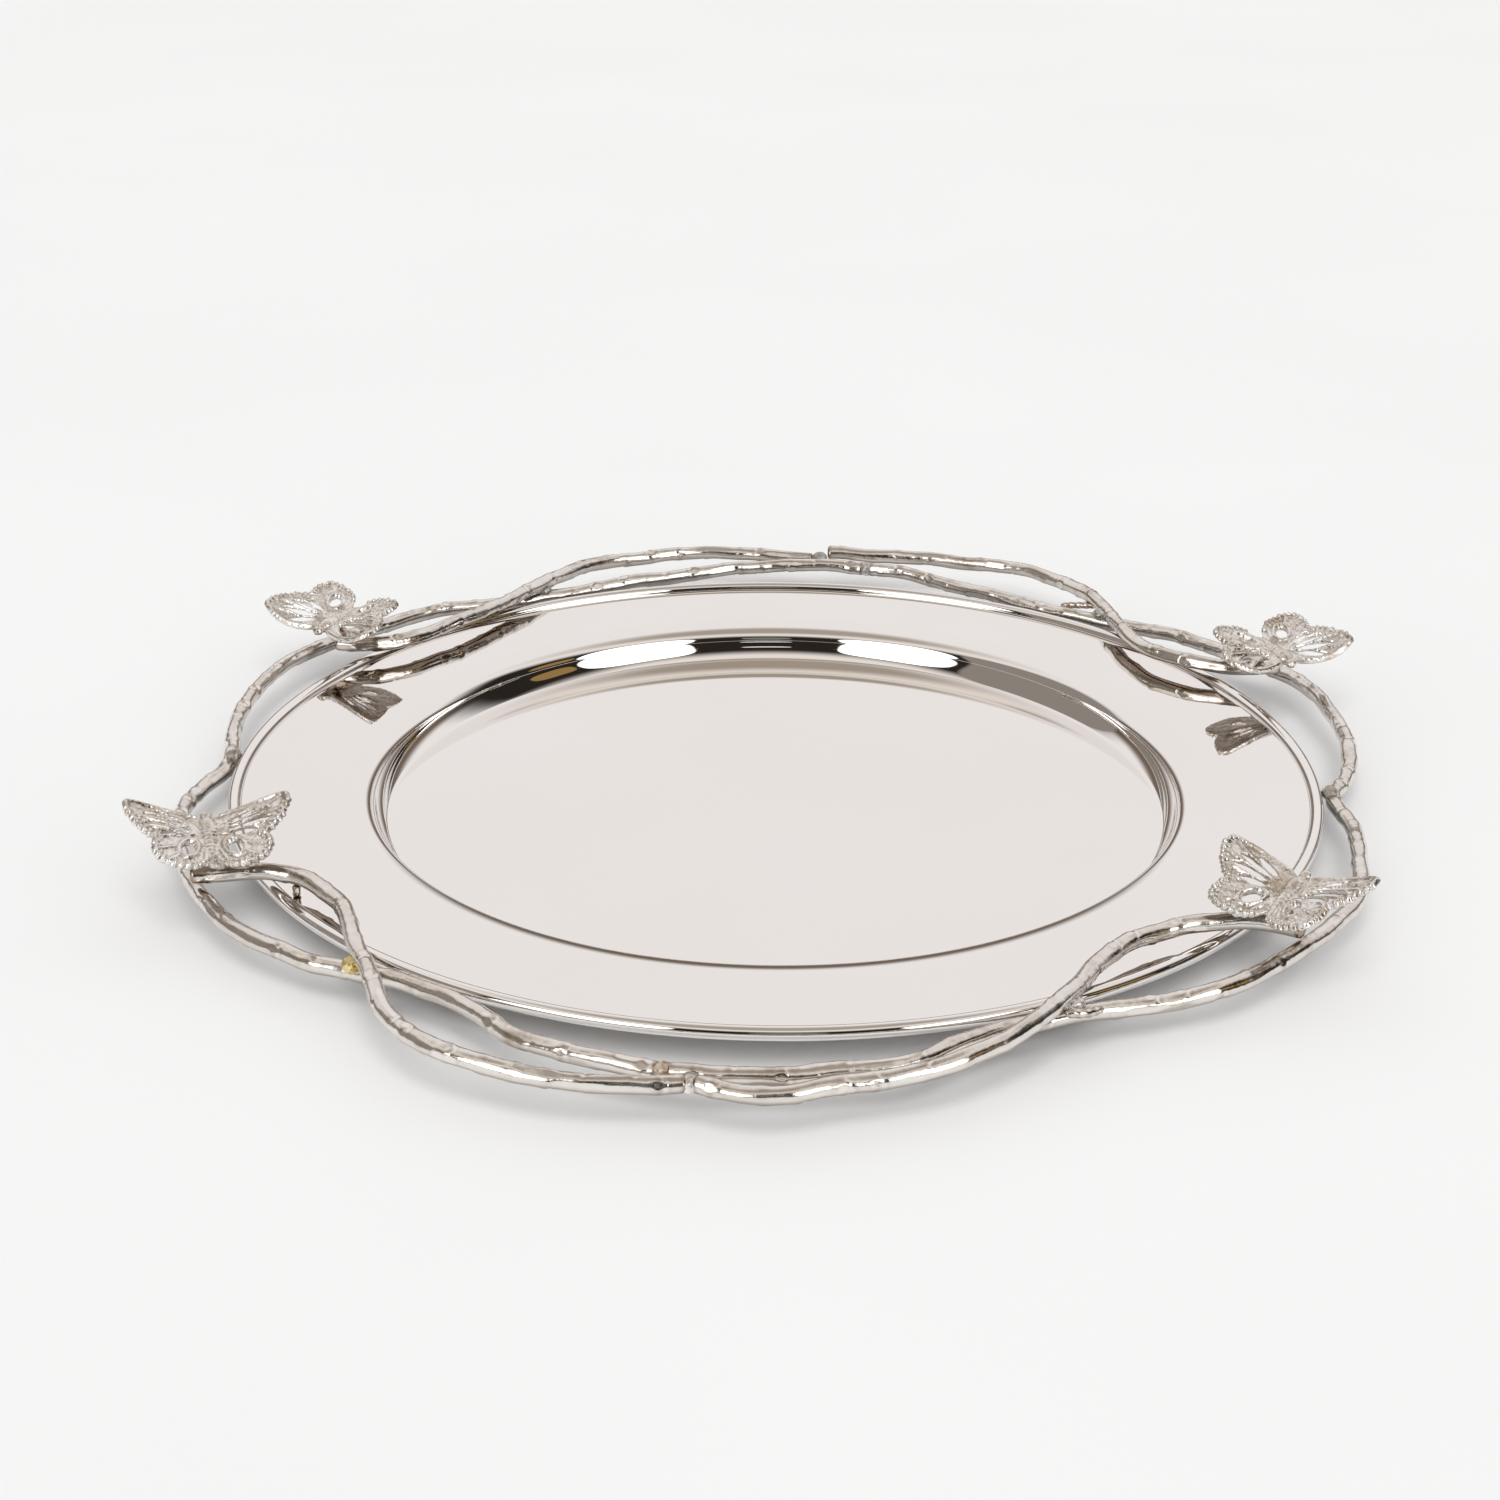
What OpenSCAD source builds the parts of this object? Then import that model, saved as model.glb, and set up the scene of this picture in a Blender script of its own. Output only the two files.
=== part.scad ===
// Round serving tray: a pressed mirror-finish dish carried in a frame of hammered
// twig rods, with four openwork butterflies soldered where the rods meet.
// Millimetres, +Z up, origin at the centre of the dish's flat underside.
// Angles are measured from +X, the line through the two rim touches.

/* [Dish] */
// Outer diameter of the dish over its rolled edge
dish_d = 350; // [320:1:380]
// Thickness of the sheet
sheet_t = 0.8; // [0.6:0.1:1.0]
// Height of the brim's top face above the table
brim_h = 12; // [12:0.5:14]
// Width of the brim and rolled edge together
brim_w = 41; // [35:1:50]
// Outer radius of the rolled edge's section
curl_r = 2.1; // [1.8:0.1:2.2]

/* [Frame] */
// Diameter of the ring rods and arc rods
rod_d = 5.6; // [4.6:0.1:5.6]
// Diameter of the small prongs that tie a ring rod to an arc rod
prong_d = 2.6; // [2:0.1:3.2]
// Radius of a drop of solder
solder_r = 3.2; // [3:0.1:3.6]

/* [Butterflies] */
// Extra angle that every wing rises from level
wing_lift = 0; // [-5:1:10]
// Extra angle that every butterfly's head is tipped up
nose_lift = 0; // [-3:1:3]
// Thickness of a wing
wing_t = 1.8; // [1.4:0.1:2.4]
// Length of a butterfly's body
body_l = 24; // [20:1:28]

/* [Hidden] */
dish_r = dish_d / 2;
brim_mid = brim_h - sheet_t / 2;
floor_mid = sheet_t / 2;
ease_r = 33;
ease_angle = 14;
ease_run = 7;
shoulder_fillet = 5;
floor_fillet = 8.5;
wall_angle = 75;
ease_centre = [dish_r - brim_w + ease_run, brim_mid - ease_r];
shoulder = ease_centre + (ease_r - shoulder_fillet) * [-sin(ease_angle), cos(ease_angle)];
wall_drop = shoulder[1] + shoulder_fillet * cos(wall_angle) - floor_mid
    - floor_fillet * (1 - cos(wall_angle));
floor_r = shoulder[0] - (shoulder_fillet + floor_fillet) * sin(wall_angle)
    - wall_drop / tan(wall_angle);
curl_mid = curl_r - sheet_t / 2;
curl_fillet = 0.6;
curl_end = -125;
curl_centre = [dish_r - curl_r, brim_mid + 0.5];
rod_sides = 10;
rod_steps = 3;

// Each rod's bend points: [angle, distance outside the dish's edge, height above the table].
RING_LEFT = [
    [84, 22, 12.5], [91, 23, 12.5], [98, 19, 12.5], [105, 13, 12.5], [112, 11, 12], [118, 9, 11.5],
    [125, 10, 11], [131, 14, 11.5], [137, 18, 12], [144, 19, 12], [150, 21, 12], [157, 21, 12],
    [165, 17, 11.5], [173, 11, 10.5], [182, 4, 9.8], [189, 10, 10], [196, 15, 11], [204, 16.5, 12],
    [212, 17.5, 12], [220, 17.5, 12], [228, 13, 11.5], [234, 7, 11.5], [241, 3.4, 12.4], [247, 6, 12.4],
    [253, 14.5, 12.6], [259, 18, 12.5], [265.4, 21, 12.5]
];
RING_RIGHT = [
    [-94, 21, 12.5], [-87, 21, 12.5], [-81, 19, 12.5], [-76, 18, 12.5], [-71, 10, 12], [-65, 4, 11.2],
    [-59, 4, 11], [-53, 8, 10.6], [-46, 15, 11.2], [-39, 17, 12], [-31, 18, 12], [-23, 18, 12],
    [-15, 12.5, 12], [-8, 9, 11], [-1, 4, 9.8], [5, 11, 10], [12, 18, 11], [20, 22.5, 12], [28, 26, 12],
    [34, 22, 12], [41, 19, 12], [47, 16, 11.5], [54, 10, 11], [61, 8, 11.5], [67, 10, 12],
    [73, 14, 12], [79, 20, 12.5], [83.4, 22, 12.5]
];
ARC_FRONT_LEFT = [
    [-147, 20, 18.4], [-146, 8, 18.2], [-144, -3, 18], [-140, -9, 18], [-134, -8.5, 17.8],
    [-128, 0.5, 17.4], [-122, 12, 17], [-117, 24.5, 16], [-112, 32, 15.5], [-106, 34, 14.8],
    [-100, 33.5, 14], [-92.2, 28, 13.6]
];
ARC_FRONT_RIGHT = [
    [-91.6, 28, 13.6], [-88, 32, 13.8], [-85, 32, 13.8], [-82, 29, 13.8], [-77, 26, 14.2],
    [-72, 23, 15], [-65, 13, 16.5], [-60, 4, 17.4], [-54, -7, 17.6], [-48, -11.4, 18], [-42, -8.2, 18],
    [-38, 0, 18.2], [-36, 9, 18.3], [-35.5, 18, 18.4]
];
ARC_BACK_RIGHT = [
    [28, 18, 18.4], [29, 9, 18.3], [31, 0, 18.1], [34, -7, 18], [39, -11, 17.8], [44, -8, 17.6],
    [48.5, 0, 17.4], [53, 10, 17.4], [57, 20, 16.6], [62, 29, 15.6], [67, 35, 15],
    [74, 34, 14.6], [81, 32, 14.8], [88.4, 30, 15.4]
];
ARC_BACK_LEFT = [
    [90, 29, 13], [95, 30, 13.6], [101, 34, 14.2], [107, 31, 14.6], [113, 28, 15.2], [118, 20, 16.2],
    [123, 9, 17.2], [128, 0, 17.4], [133, -6, 17.8], [139, -10, 18], [145, -11, 18],
    [149.5, -7, 18.1], [152, 0, 18.2], [153, 8, 18.4]
];
PRONG_FRONT_RIGHT = [[-61, 9, 15.6], [-59, 10, 14.6], [-57, 8, 13.4]];
PRONG_BACK_RIGHT = [[55, 17, 14.6], [57, 15, 13.6], [59, 12, 13]];

// Each butterfly: [angle, distance outside the dish's edge, height of body, heading of its head,
// rise of its left wing, rise of its right wing, angle that its head is tipped up].
BUTTERFLY_FRONT_LEFT = [-148.6, 12, 25.3, 110, 22, 14, 17];
BUTTERFLY_FRONT_RIGHT = [-34.8, 11, 24.9, 53, 13, 18, 17];
BUTTERFLY_BACK_RIGHT = [27.3, 14, 24.4, -62, 14, 10, -6];
BUTTERFLY_BACK_LEFT = [152, 10, 24.4, -120, 10, 14, -6];

// Where drops of solder sit: [angle, distance outside the dish's edge, height].
RIM_TOUCH_LEFT = [182, 2.4, 12.4];
RIM_TOUCH_RIGHT = [-1, 2.6, 12.4];
CROSSING_FRONT_LEFT = [-125.6, 7.6, 14.1];
CROSSING_FRONT_RIGHT = [-59, 4, 14.2];
CROSSING_BACK_RIGHT = [53.3, 10.6, 14.2];
CROSSING_BACK_LEFT = [122.7, 9.7, 14.2];
JOIN_FRONT_RING = [-94.3, 21, 12.5];
JOIN_FRONT_ARC = [-91.9, 28, 13.6];
JOIN_BACK_RING = [83.7, 22, 12.5];
JOIN_BACK_ARC = [89.2, 27, 13.8];
SEAT_FRONT_LEFT = [-146.8, 11.5, 21.4];
SEAT_FRONT_RIGHT = [-35.6, 11.5, 21.4];
SEAT_BACK_LEFT = [152.7, 8, 21.2];
SEAT_BACK_RIGHT = [28.2, 14, 21.2];

// A wing's outline from the body's side, out along the leading edge and back round the margin.
WING_OUTLINE = [
    [0, 7.5], [5, 10.5], [12, 12.5], [19, 13], [25, 11.5], [26.3, 9], [25, 4.5], [23, 0.5], [20, -3],
    [17.8, -4.5], [18.6, -8], [18.4, -12], [16.8, -15.2], [12.5, -16.4], [7, -16], [3, -12.5], [0, -7]
];
SLIT_ANGLES = [-11, 3, 17, 31];
SLIT_LENGTHS = [9, 13, 14, 11];
slit_start = 7;
slit_w = 1.6;
hole_d = 4;
hole_l = 5;
hole_at = [8, -8];

// Shape helpers.
function arc_points(centre, r, from, to, n) =
    [for (i = [0:n]) let (a = from + (to - from) * i / n) centre + r * [cos(a), sin(a)]];

function unit(v) = v / norm(v);

function sheet_normal(line, i) =
    let (
        a = line[max(i - 1, 0)],
        b = line[min(i + 1, len(line) - 1)],
        along = unit(b - a)
    ) [-along[1], along[0]];

function sheet_side(line, offset) =
    [for (i = [0:len(line) - 1]) line[i] + offset * sheet_normal(line, i)];

function reversed(list) = [for (i = [len(list) - 1:-1:0]) list[i]];

function blend(a, b, c, d, t) =
    0.5 * (2 * b + (c - a) * t + (2 * a - 5 * b + 4 * c - d) * t * t
        + (3 * b - a - 3 * c + d) * t * t * t);

function to_xyz(p) = [(dish_r + p[1]) * cos(p[0]), (dish_r + p[1]) * sin(p[0]), p[2]];

// A smooth path through bend points, with rod_steps stations from each one to the next.
function rod_path(bends) =
    let (last = len(bends) - 1)
    [
        for (i = [0:last - 1], s = [0:rod_steps - 1])
            to_xyz(blend(bends[max(i - 1, 0)], bends[i], bends[i + 1], bends[min(i + 2, last)],
                s / rod_steps)),
        to_xyz(bends[last])
    ];

function station_ring(path, i, r) =
    let (
        along = unit(path[min(i + 1, len(path) - 1)] - path[max(i - 1, 0)]),
        side = unit(cross(along, [0, 0, 1])),
        up = cross(side, along)
    )
    [for (k = [0:rod_sides - 1]) let (a = 360 * k / rod_sides)
        path[i] + r * (cos(a) * side + sin(a) * up)];

module rod(bends, d) {
    path = rod_path(bends);
    count = len(path);
    points = [for (i = [0:count - 1]) each station_ring(path, i, d / 2)];
    sides = [for (i = [0:count - 2], k = [0:rod_sides - 1]) let (n = (k + 1) % rod_sides)
        [i * rod_sides + k, i * rod_sides + n, (i + 1) * rod_sides + n, (i + 1) * rod_sides + k]];
    first_cap = [for (k = [rod_sides - 1:-1:0]) k];
    last_cap = [for (k = [0:rod_sides - 1]) (count - 1) * rod_sides + k];
    polyhedron(points, concat([first_cap], sides, [last_cap]));
}

// The dish, from the middle of its floor out to the end of the rolled edge.
module tray_dish() {
    curl_start = curl_centre + [-curl_mid, 0.1];
    line = concat(
        [[0, floor_mid]],
        arc_points([floor_r, floor_mid + floor_fillet], floor_fillet, -90, wall_angle - 90, 10),
        arc_points(shoulder, shoulder_fillet, 90 + wall_angle, 90 + ease_angle, 8),
        arc_points(ease_centre, ease_r, 90 + ease_angle - 3, 90, 4),
        arc_points([curl_start[0] - curl_fillet, brim_mid + curl_fillet], curl_fillet, -90, 0, 4),
        arc_points(curl_centre, curl_mid, 176, curl_end, 20)
    );
    color("gainsboro")
        rotate_extrude($fn = 180)
            polygon(concat(sheet_side(line, -sheet_t / 2), reversed(sheet_side(line, sheet_t / 2))));
}

module slit(angle, length) {
    rotate(angle)
        translate([slit_start, 0]) {
            polygon([[0, -slit_w * 0.25], [length, -slit_w / 2], [length, slit_w / 2],
                [0, slit_w * 0.25]]);
            translate([length, 0])
                circle(d = slit_w, $fn = 24);
        }
}

module wing() {
    linear_extrude(wing_t)
        difference() {
            polygon(WING_OUTLINE);
            for (i = [0:len(SLIT_ANGLES) - 1])
                translate([0, 1])
                    slit(SLIT_ANGLES[i], SLIT_LENGTHS[i]);
            translate(hole_at)
                rotate(-60) {
                    circle(d = hole_d * 0.6, $fn = 24);
                    translate([hole_l, 0])
                        circle(d = hole_d, $fn = 24);
                    translate([0, -hole_d * 0.3])
                        square([hole_l, hole_d * 0.6]);
                }
        }
}

module butterfly_body() {
    half = body_l / 2;
    rotate([-90, 0, 0])
        rotate_extrude($fn = 32)
            polygon([[0, -half], [1.4, -half + 0.6], [2.4, -half * 0.4], [3, half * 0.2],
                [2.2, half * 0.5], [2.6, half * 0.75], [1.9, half * 0.95], [0, half]]);
}

module at_butterfly(place) {
    translate(to_xyz(place))
        rotate([0, 0, place[3] - 90])
            rotate([place[6] + nose_lift, 0, 0])
                children();
}

module butterfly(place) {
    color("silver")
        at_butterfly(place) {
            butterfly_body();
            rotate([0, -place[5] - wing_lift, 0])
                wing();
            mirror([1, 0, 0])
                rotate([0, -place[4] - wing_lift, 0])
                    wing();
        }
}

// A drop of solder, in flat facets, that fills round the pieces it joins, which are its children.
module solder(place) {
    color("darkgray")
        difference() {
            translate(to_xyz(place))
                sphere(r = solder_r, $fn = 12);
            children();
        }
}

module ring_rod(bends) {
    color("silver")
        rod(bends, rod_d);
}

module prong(bends) {
    color("lightgray")
        rod(bends, prong_d);
}

module rest_stub_front_left() {
    color("lightgray")
        translate(to_xyz([-142, -6.5, brim_h]))
            cylinder(d = prong_d, h = 18 - rod_d / 2 - brim_h, $fn = 32);
}

tray_dish();
ring_rod(RING_LEFT);  // ring_rod_left
ring_rod(RING_RIGHT);  // ring_rod_right
ring_rod(ARC_FRONT_LEFT);  // arc_rod_front_left
ring_rod(ARC_FRONT_RIGHT);  // arc_rod_front_right
ring_rod(ARC_BACK_LEFT);  // arc_rod_back_left
ring_rod(ARC_BACK_RIGHT);  // arc_rod_back_right
butterfly(BUTTERFLY_FRONT_LEFT);  // butterfly_front_left
butterfly(BUTTERFLY_FRONT_RIGHT);  // butterfly_front_right
butterfly(BUTTERFLY_BACK_LEFT);  // butterfly_back_left
butterfly(BUTTERFLY_BACK_RIGHT);  // butterfly_back_right
prong(PRONG_FRONT_RIGHT);  // prong_front_right
prong(PRONG_BACK_RIGHT);  // prong_back_right
rest_stub_front_left();
solder(RIM_TOUCH_LEFT) {  // solder_rim_left
    tray_dish();
    ring_rod(RING_LEFT);
}
solder(RIM_TOUCH_RIGHT) {  // solder_rim_right
    tray_dish();
    ring_rod(RING_RIGHT);
}
solder(CROSSING_FRONT_LEFT) {  // solder_crossing_front_left
    ring_rod(RING_LEFT);
    ring_rod(ARC_FRONT_LEFT);
}
solder(CROSSING_FRONT_RIGHT) {  // solder_crossing_front_right
    ring_rod(RING_RIGHT);
    ring_rod(ARC_FRONT_RIGHT);
    tray_dish();
}
solder(CROSSING_BACK_LEFT) {  // solder_crossing_back_left
    ring_rod(RING_LEFT);
    ring_rod(ARC_BACK_LEFT);
}
solder(CROSSING_BACK_RIGHT) {  // solder_crossing_back_right
    ring_rod(RING_RIGHT);
    ring_rod(ARC_BACK_RIGHT);
}
solder(JOIN_FRONT_RING) {  // solder_join_front_ring
    ring_rod(RING_LEFT);
    ring_rod(RING_RIGHT);
    ring_rod(ARC_FRONT_LEFT);
}
solder(JOIN_FRONT_ARC) {  // solder_join_front_arc
    ring_rod(ARC_FRONT_LEFT);
    ring_rod(ARC_FRONT_RIGHT);
    ring_rod(RING_RIGHT);
}
solder(JOIN_BACK_RING) {  // solder_join_back_ring
    ring_rod(RING_LEFT);
    ring_rod(RING_RIGHT);
}
solder(JOIN_BACK_ARC) {  // solder_join_back_arc
    ring_rod(ARC_BACK_LEFT);
    ring_rod(ARC_BACK_RIGHT);
    ring_rod(RING_LEFT);
}
solder(SEAT_FRONT_LEFT) {  // solder_seat_front_left
    ring_rod(ARC_FRONT_LEFT);
    butterfly(BUTTERFLY_FRONT_LEFT);
}
solder(SEAT_FRONT_RIGHT) {  // solder_seat_front_right
    ring_rod(ARC_FRONT_RIGHT);
    butterfly(BUTTERFLY_FRONT_RIGHT);
}
solder(SEAT_BACK_LEFT) {  // solder_seat_back_left
    ring_rod(ARC_BACK_LEFT);
    butterfly(BUTTERFLY_BACK_LEFT);
}
solder(SEAT_BACK_RIGHT) {  // solder_seat_back_right
    ring_rod(ARC_BACK_RIGHT);
    butterfly(BUTTERFLY_BACK_RIGHT);
}
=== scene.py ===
"""Round serving tray: a mirror-finish dish in a frame of hammered twig rods, with four
cast openwork butterflies. Metres in the scene; the shapes are laid out in millimetres."""

import math

import bmesh
import bpy
import numpy as np
from mathutils import Matrix, Vector, noise


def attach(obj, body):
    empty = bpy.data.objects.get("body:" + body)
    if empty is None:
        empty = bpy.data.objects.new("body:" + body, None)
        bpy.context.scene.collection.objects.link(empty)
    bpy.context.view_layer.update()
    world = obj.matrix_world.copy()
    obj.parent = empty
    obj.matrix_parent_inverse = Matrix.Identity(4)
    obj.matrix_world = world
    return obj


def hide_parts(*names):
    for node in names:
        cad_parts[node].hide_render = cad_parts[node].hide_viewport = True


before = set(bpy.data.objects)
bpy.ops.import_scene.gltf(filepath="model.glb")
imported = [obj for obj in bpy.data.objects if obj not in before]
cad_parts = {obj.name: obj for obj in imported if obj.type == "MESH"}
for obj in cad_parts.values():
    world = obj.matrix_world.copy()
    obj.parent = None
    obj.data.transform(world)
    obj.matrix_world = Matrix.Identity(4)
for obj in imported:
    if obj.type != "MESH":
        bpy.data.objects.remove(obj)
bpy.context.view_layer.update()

MM = 0.001

# Dish, in millimetres. Edge, floor, brim, shoulder and rolled edge are the CAD dish's; the wall is
# hollow and its heel tight, where the CAD dish has a straight wall with a wide fillet.
DISH_R = 175.0
SHEET_T = 0.8
BRIM_MID = 11.6
FLOOR_MID = 0.4
BRIM_EASE_R = 33.0
BRIM_EASE_ANGLE = 14.0
BRIM_FLAT_END = 141.0
SHOULDER_FILLET = 5.0
WALL_ANGLE = 75.0
HEEL_FILLET = 2.0
HEEL_ANGLE = 50.0
CURL_R = 2.1
CURL_MID = CURL_R - SHEET_T / 2
CURL_FILLET = 0.6
CURL_END = -125.0
ROD_R = 2.8
PRONG_R = 1.3

# How finely the dish, the rods and the short twigs are meshed; steps in millimetres.
DISH_TURNS = 400
ROD_SIDES, ROD_STEP = 36, 0.6
TWIG_SIDES, TWIG_STEP = 20, 0.25
SPLINE_STEPS = 24

# Hammering: spacing of the long flats, and breadth of a knuckle, its crease and its scar.
FLAT_SPACING = 6
KNUCKLE_HALF = 1.7
CREASE_OFFSET, CREASE_HALF = 1.9, 0.55
SCAR_HALF, SCAR_SPREAD = 1.5, 0.62

# Bend points of each rod: [angle, distance outside the dish's edge, height above the table].
RING_LEFT = [
    [84, 22, 12.5], [91, 23, 12.5], [98, 19, 12.5], [105, 13, 12.5], [112, 11, 12], [118, 9, 11.5],
    [125, 10, 11], [131, 14, 11.5], [137, 18, 12], [144, 19, 12], [150, 21, 12], [157, 21, 12],
    [165, 17, 11.5], [173, 11, 10.5], [182, 4, 9.8], [189, 10, 10], [196, 15, 11], [204, 16.5, 12],
    [212, 17.5, 12], [220, 17.5, 12], [228, 13, 11.5], [234, 7, 11.5], [241, 3.4, 12.4],
    [247, 6, 12.4], [253, 14.5, 12.6], [259, 18, 12.5], [265.4, 21, 12.5],
]
RING_RIGHT = [
    [-94, 21, 12.5], [-87, 21, 12.5], [-81, 19, 12.5], [-76, 18, 12.5], [-71, 10, 12],
    [-65, 4, 11.2], [-59, 4, 11], [-53, 8, 10.6], [-46, 15, 11.2], [-39, 17, 12], [-31, 18, 12],
    [-23, 18, 12], [-15, 12.5, 12], [-8, 9, 11], [-1, 4, 9.8], [5, 11, 10], [12, 18, 11],
    [20, 22.5, 12], [28, 26, 12], [34, 22, 12], [41, 19, 12], [47, 16, 11.5], [54, 10, 11],
    [61, 8, 11.5], [67, 10, 12], [73, 14, 12], [79, 20, 12.5], [83.4, 22, 12.5],
]
ARC_FRONT_LEFT = [
    [-147, 20, 18.4], [-146, 8, 18.2], [-144, -3, 18], [-140, -9, 18], [-134, -8.5, 17.8],
    [-128, 0.5, 17.4], [-122, 12, 17], [-117, 24.5, 16], [-112, 32, 15.5], [-106, 34, 14.8],
    [-100, 33.5, 14], [-92.2, 28, 13.6],
]
ARC_FRONT_RIGHT = [
    [-91.6, 28, 13.6], [-88, 32, 13.8], [-85, 32, 13.8], [-82, 29, 13.8], [-77, 26, 14.2],
    [-72, 23, 15], [-65, 13, 16.5], [-60, 4, 17.4], [-54, -7, 17.6], [-48, -11.4, 18],
    [-42, -8.2, 18], [-38, 0, 18.2], [-36, 9, 18.3], [-35.5, 18, 18.4],
]
ARC_BACK_RIGHT = [
    [28, 18, 18.4], [29, 9, 18.3], [31, 0, 18.1], [34, -7, 18], [39, -11, 17.8], [44, -8, 17.6],
    [48.5, 0, 17.4], [53, 10, 17.4], [57, 20, 16.6], [62, 29, 15.6], [67, 35, 15],
    [74, 34, 14.6], [81, 32, 14.8], [88.4, 30, 15.4],
]
ARC_BACK_LEFT = [
    [90, 29, 13], [95, 30, 13.6], [101, 34, 14.2], [107, 31, 14.6], [113, 28, 15.2],
    [118, 20, 16.2], [123, 9, 17.2], [128, 0, 17.4], [133, -6, 17.8], [139, -10, 18],
    [145, -11, 18], [149.5, -7, 18.1], [152, 0, 18.2], [153, 8, 18.4],
]
PRONG_FRONT_RIGHT = [[-61, 9, 15.6], [-59, 10, 14.6], [-57, 8, 13.4]]
PRONG_BACK_RIGHT = [[55, 17, 14.6], [57, 15, 13.6], [59, 12, 13]]
REST_STUB = [[-142, -6.5, 12.1], [-142, -6.5, 13.8], [-142, -6.5, 15.6]]

# Each butterfly: angle, distance outside the edge, height, heading, rise of left and right wing,
# angle that its head is tipped up.
BUTTERFLIES = {
    "front_left": [-148.6, 12, 25.3, 110, 22, 14, 17],
    "front_right": [-34.8, 11, 24.9, 53, 13, 18, 17],
    "back_right": [27.3, 14, 24.4, -62, 14, 10, -6],
    "back_left": [152, 10, 24.4, -120, 10, 14, -6],
}

# Right half of a butterfly from above, in millimetres: +Y to its head, +X to the wing's tip.
WING_EDGE = [
    [0, 7.5], [5, 10.5], [12, 12.5], [19, 13], [25, 11.5], [26.3, 9], [25, 4.5], [23, 0.5],
    [20, -3], [17.8, -4.5], [18.6, -8], [18.4, -12], [16.8, -15.2], [12.5, -16.4], [7, -16],
    [3, -12.5], [0, -7],
]
WING_TIP = 5  # the outline's bend point at the tip
CAST_SCALE = 0.985
WING_HALF_T = 0.75
WING_MID_Z = 0.9
WING_STEPS = 12
WING_GRID = 0.34
CAST_VOXEL = 0.3
SLITS = [(-11, 9), (3, 13), (17, 14), (31, 11)]
SLIT_START = 7.0
RIB_HALF = 0.6
# Ribs: the point they fan out from, their height, and their angles.
FORE_RIBS = ((2, 1), 0.85, (-18, -4, 10, 24, 38))
HIND_RIBS = ((2, -3), 0.7, (-24, -42, -72, -88))
WING_HOLE = (7.8, -7.4)
BEAD_SPACING = 1.75
# Rows of beads along the edge: distance in from it, and size against the outer row.
BEAD_ROWS = ((0.5, 1.0), (2.3, 0.62))

# Each drop of solder: angle, distance outside the edge, height, radius, material.
SOLDER_DROPS = {
    "rim_left": (182, 2.4, 12.4, 2.6, "dark"),
    "rim_right": (-1, 2.6, 12.4, 2.5, "dark"),
    "crossing_front_left": (-125.6, 7.6, 14.1, 2.9, "brass"),
    "crossing_front_right": (-59, 4, 14.2, 2.9, "bright"),
    "crossing_back_right": (53.3, 10.6, 14.2, 2.9, "bright"),
    "crossing_back_left": (122.7, 9.7, 14.2, 2.9, "dull"),
    "join_front_ring": (-94.3, 21, 12.5, 2.9, "brown"),
    "join_front_arc": (-91.9, 28, 13.6, 2.9, "bright"),
    "join_back_ring": (83.7, 22, 12.5, 2.9, "dull"),
    "join_back_arc": (89.2, 27, 13.8, 3.0, "dull"),
    "seat_front_left": (-146.8, 11.5, 21.4, 3.0, "bright"),
    "seat_front_right": (-35.6, 11.5, 21.4, 3.0, "brown"),
    "seat_back_left": (152.7, 8, 21.2, 3.0, "brown"),
    "seat_back_right": (28.2, 14, 21.2, 3.0, "bright"),
}

# Studio: brightness of each part of the sky, in red, green and blue.
SKY_COVE = (0.88, 0.85, 0.845)
SKY_HORIZON = (0.17, 0.13, 0.1)
SKY_TOP = (0.4, 0.35, 0.3)
SKY_DARK = (0.022, 0.018, 0.015)
SKY_WARM = (0.85, 0.8, 0.75)
# Soft boxes: centre and half size in degrees of bearing and height, then brightness.
SOFT_BOXES = [
    ((-85, 15), (30, 32), (0.27, 0.24, 0.215)),
    ((-34, 22), (19, 19), (2.4, 2.4, 2.4)),
    ((48, 22), (19, 19), (2.4, 2.4, 2.4)),
    ((76, 20), (8, 8), (0.3, 0.19, 0.07)),
    ((7, 13), (8, 1.2), (0.75, 0.75, 0.7)),
    ((7, 27), (8, 1.5), (0.75, 0.75, 0.7)),
]
FILL_LIGHT = (0.62, 0.618, 0.615)
# Lamp overhead: strength, spread in degrees, and its tilt from straight down about X and Y.
OVERHEAD, OVERHEAD_SPREAD, OVERHEAD_TILT = 1.8, 42, (38, 4)
FLOOR_HALF, FLOOR_Z = 6.0, -0.0002


# ---------------------------------------------------------------- numbers and shapes
def polar(angle, out, height):
    r, a = DISH_R + out, math.radians(angle)
    return np.array([r * math.cos(a), r * math.sin(a), height])


def arc(centre, r, start, end, n):
    turn = np.radians(np.linspace(start, end, n + 1))
    return [(centre[0] + r * math.cos(a), centre[1] + r * math.sin(a)) for a in turn]


def spline(bends, steps):
    """A smooth curve through the bend points, in the given number of steps from each to the next."""
    b = np.array(bends, float)
    line = []
    for i in range(len(b) - 1):
        p, q, r, s = b[max(i - 1, 0)], b[i], b[i + 1], b[min(i + 2, len(b) - 1)]
        for t in np.linspace(0, 1, steps, endpoint=False):
            line.append(0.5 * (2 * q + (r - p) * t + (2 * p - 5 * q + 4 * r - s) * t ** 2
                               + (3 * q - p - 3 * r + s) * t ** 3))
    line.append(b[-1])
    return np.array(line)


def smooth_path(bends, step):
    """Points every step millimetres along the rod's smooth centre line."""
    xyz = np.array([polar(*bend) for bend in spline(bends, SPLINE_STEPS)])
    length = np.concatenate([[0], np.cumsum(np.linalg.norm(np.diff(xyz, axis=0), axis=1))])
    stations = np.linspace(0, length[-1], max(int(length[-1] / step), 2) + 1)
    return np.stack([np.interp(stations, length, xyz[:, k]) for k in range(3)], 1), stations


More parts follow.
